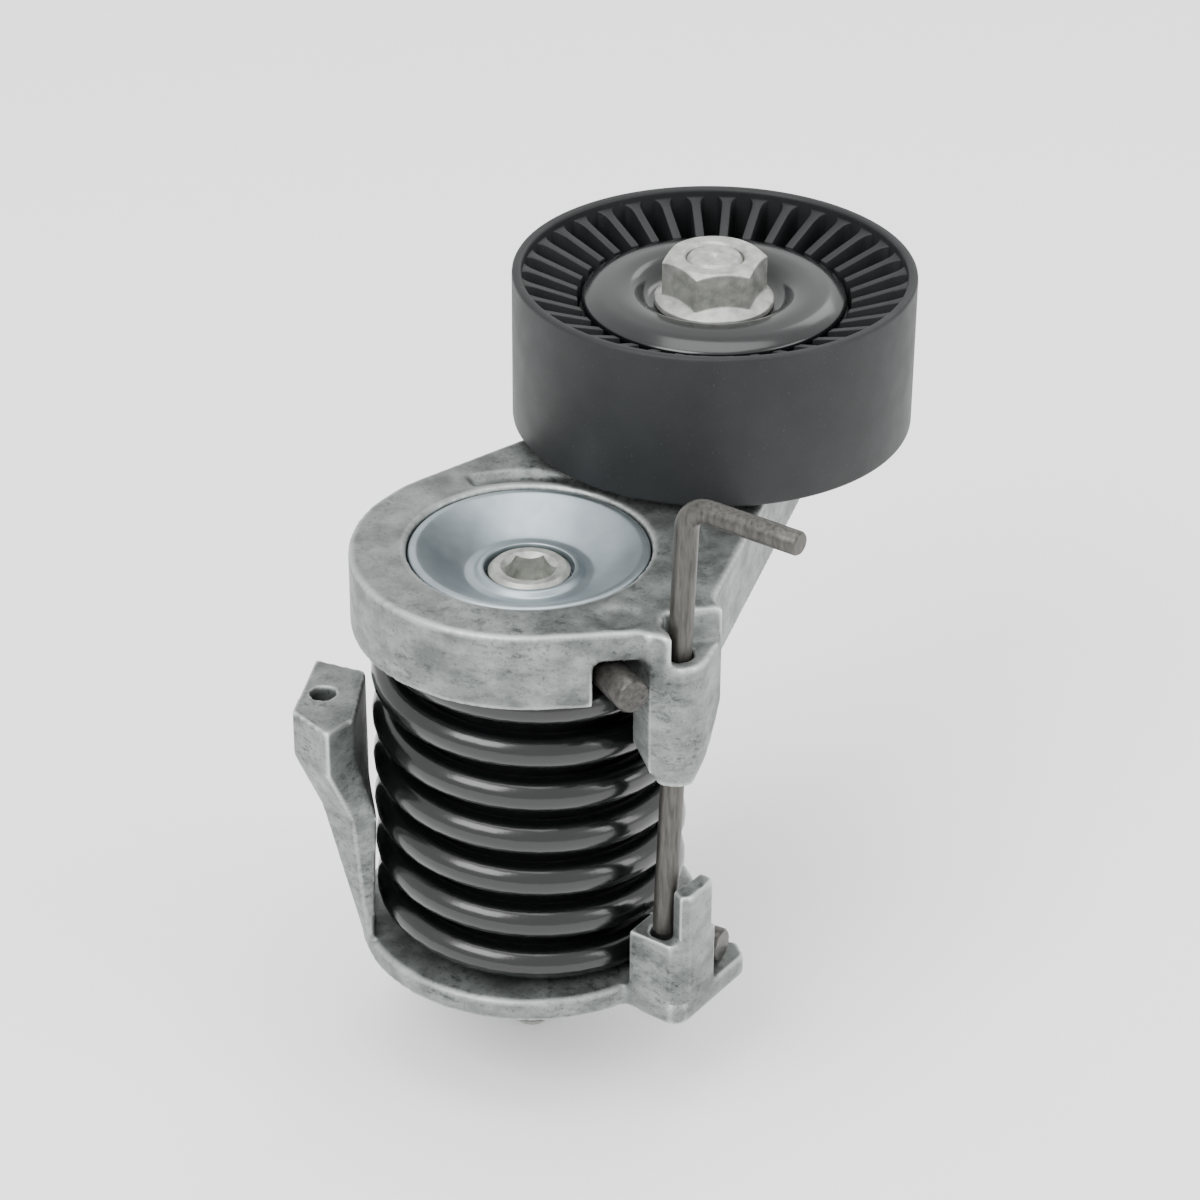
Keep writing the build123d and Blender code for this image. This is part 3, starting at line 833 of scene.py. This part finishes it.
def makeFlangeNut():
    low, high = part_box("flange_nut")
    flats = flangeNut["flats"]
    flange = flangeNut["flange"]
    bore = flangeNut["bore"]
    flangeTop = low.z + flangeNut["flangeHeight"]
    piece = hexPrism(pulleyPlace, flats, low.z, high.z - low.z, flangeNut["turn"])
    crown = turnedPiece(pulleyPlace, [
        (axis, low.z - 1 * mm), (flats, low.z - 1 * mm), (flats, high.z - 5.0 * mm),
        (flats / 2 - 0.3 * mm, high.z + 0.05 * mm), (axis, high.z + 0.05 * mm),
    ], 128)
    applyModifier(piece, "BOOLEAN", operation="INTERSECT", object=crown, solver="EXACT")
    bpy.data.objects.remove(crown)
    skirt = turnedPiece(pulleyPlace, [
        (axis, low.z), (flange, low.z), (flange, low.z + flangeNut["flangeEdge"]),
        (flats / 2, flangeTop), (axis, flangeTop),
    ], 128)
    applyModifier(piece, "BOOLEAN", operation="UNION", object=skirt, solver="EXACT")
    bpy.data.objects.remove(skirt)
    cut(piece, disc(pulleyPlace, bore, low.z - 1 * mm, 20 * mm, 96))
    lead = turnedPiece(pulleyPlace, [
        (axis, high.z - 0.5 * mm), (bore, high.z - 0.5 * mm),
        (flangeNut["lead"], high.z + 0.2 * mm), (axis, high.z + 0.2 * mm),
    ], 96)
    cut(piece, lead)
    applyModifier(piece, "REMESH", mode="VOXEL", voxel_size=flangeNut["skin"])
    applyModifier(piece, "SMOOTH", factor=0.5, iterations=4)
    pick(piece)
    bpy.ops.object.shade_smooth()
    settle(piece, "flangeNut", "flange_nut")


pulleyStud = {
    "radius": 5.0 * mm,
    "head": 8.0 * mm,
    "headHeight": 3.0 * mm,
    "chamfer": 0.9 * mm,
    "centreMark": 1.1 * mm,
}


def makePulleyStud():
    low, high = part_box("pulley_stud")
    radius = pulleyStud["radius"]
    head = pulleyStud["head"]
    headTop = low.z + pulleyStud["headHeight"]
    profile = [
        (axis, low.z), (head, low.z), (head, headTop), (radius, headTop),
        (radius, high.z - pulleyStud["chamfer"]), (radius - 0.8 * mm, high.z),
        (pulleyStud["centreMark"], high.z), (axis, high.z - 0.6 * mm),
    ]
    piece = turnedPiece(pulleyPlace, rounded(profile, 0.25 * mm, 2), 96)
    smoothByAngle(piece, 40)
    settle(piece, "pulleyStud", "pulley_stud")


lockingPin = {
    "radius": 2.0 * mm,
    "bend": 4.0 * mm,
    "lean": 1.83,
    "leanAzimuth": 35.3,
    "hole": (34.3 * mm, -6.4 * mm, 58.9 * mm),
    "foot": 15.8 * mm,
    "handle": 97.5 * mm,
    "handleLength": 21.0 * mm,
    "endStep": 0.4 * mm,
    "endScale": 0.86,
}


def makeLockingPin():
    bend = lockingPin["bend"]
    step = lockingPin["endStep"]
    lean = math.radians(lockingPin["lean"])
    leanAzimuth = math.radians(lockingPin["leanAzimuth"])
    hole = Vector(lockingPin["hole"])
    along = Vector((
        math.sin(lean) * math.cos(leanAzimuth),
        math.sin(lean) * math.sin(leanAzimuth),
        math.cos(lean),
    ))
    foot = hole + along * ((lockingPin["foot"] - hole.z) / along.z)
    corner = hole + along * ((lockingPin["handle"] - hole.z) / along.z)
    tip = corner + Vector((lockingPin["handleLength"], 0, 0))
    start = corner - along * bend
    end = corner + Vector((bend, 0, 0))
    centre = start + Vector((bend, 0, 0))
    points = [foot, foot + along * step]
    points += [foot.lerp(start, share / 6) for share in range(1, 6)]
    steps = 14
    for index in range(steps + 1):
        angle = math.pi / 2 * index / steps
        points.append(centre - Vector((bend * math.cos(angle), 0, 0)) + along * bend * math.sin(angle))
    points += [end.lerp(tip, share / 4) for share in range(1, 4)] + [tip - Vector((step, 0, 0)), tip]
    piece = tube(points, lockingPin["radius"], lockingPin["endScale"], 9)
    smoothByAngle(piece, 50)
    settle(piece, "lockingPin", "locking_pin")


makePulley()
makeFrontShield()
makeRearShield()
makeEndCap()
makeMountingBolt()
makeFlangeNut()
makePulleyStud()
makeLockingPin()

studio = {
    "floor": 6.0,
    "floorDrop": 0.05 * mm,
    "world": 1.45,
    # each lamp: name, place in metres, size and power
    "lamps": (
        ("key", (-0.55, -0.75, 0.95), 0.7, 13),
        ("fill", (0.95, -0.35, 0.55), 0.6, 5),
        ("back", (0.5, 0.9, 0.8), 0.4, 1.5),
        ("top", (0, 0, 1.3), 0.9, 9),
    ),
}


def makeStudio():
    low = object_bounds()[0]
    deselect()
    bpy.ops.mesh.primitive_plane_add(size=studio["floor"], location=(0, 0, low.z - studio["floorDrop"]))
    floor = bpy.context.object
    floor.name = "floor"
    material = newMaterial("paleFloor")
    shaderOf(material).inputs["Base Color"].default_value = tint("fbfbfb")
    shaderOf(material).inputs["Roughness"].default_value = 0.9
    paint(floor, material)
    world = bpy.data.worlds.new("studio")
    world.use_nodes = True
    bpy.context.scene.world = world
    world.node_tree.nodes["Background"].inputs["Color"].default_value = tint("ffffff")
    world.node_tree.nodes["Background"].inputs["Strength"].default_value = studio["world"]
    target = Vector(cameraView["aim"])
    turn = Matrix.Rotation(math.radians(cameraView["azimuth"]), 4, "Z")
    for name, place, size, power in studio["lamps"]:
        light = bpy.data.lights.new(name, "AREA")
        light.shape = "SQUARE"
        light.size = size
        light.energy = power
        lamp = bpy.data.objects.new(name, light)
        lamp.location = turn @ Vector(place)
        lamp.rotation_euler = (target - lamp.location).to_track_quat("-Z", "Y").to_euler()
        bpy.context.collection.objects.link(lamp)


def makeCamera():
    data = bpy.data.cameras.new("camera")
    data.lens = cameraView["lens"]
    data.sensor_width = 36
    camera = bpy.data.objects.new("camera", data)
    bpy.context.collection.objects.link(camera)
    turn = Matrix.Rotation(math.radians(cameraView["azimuth"]), 4, "Z")
    tip = Matrix.Rotation(math.radians(90 - cameraView["elevation"]), 4, "X")
    roll = Matrix.Rotation(math.radians(cameraView["roll"]), 4, "Z")
    back = Matrix.Translation((0, 0, cameraView["distance"]))
    camera.matrix_world = Matrix.Translation(cameraView["aim"]) @ turn @ tip @ roll @ back
    bpy.context.scene.camera = camera


makeStudio()
makeCamera()
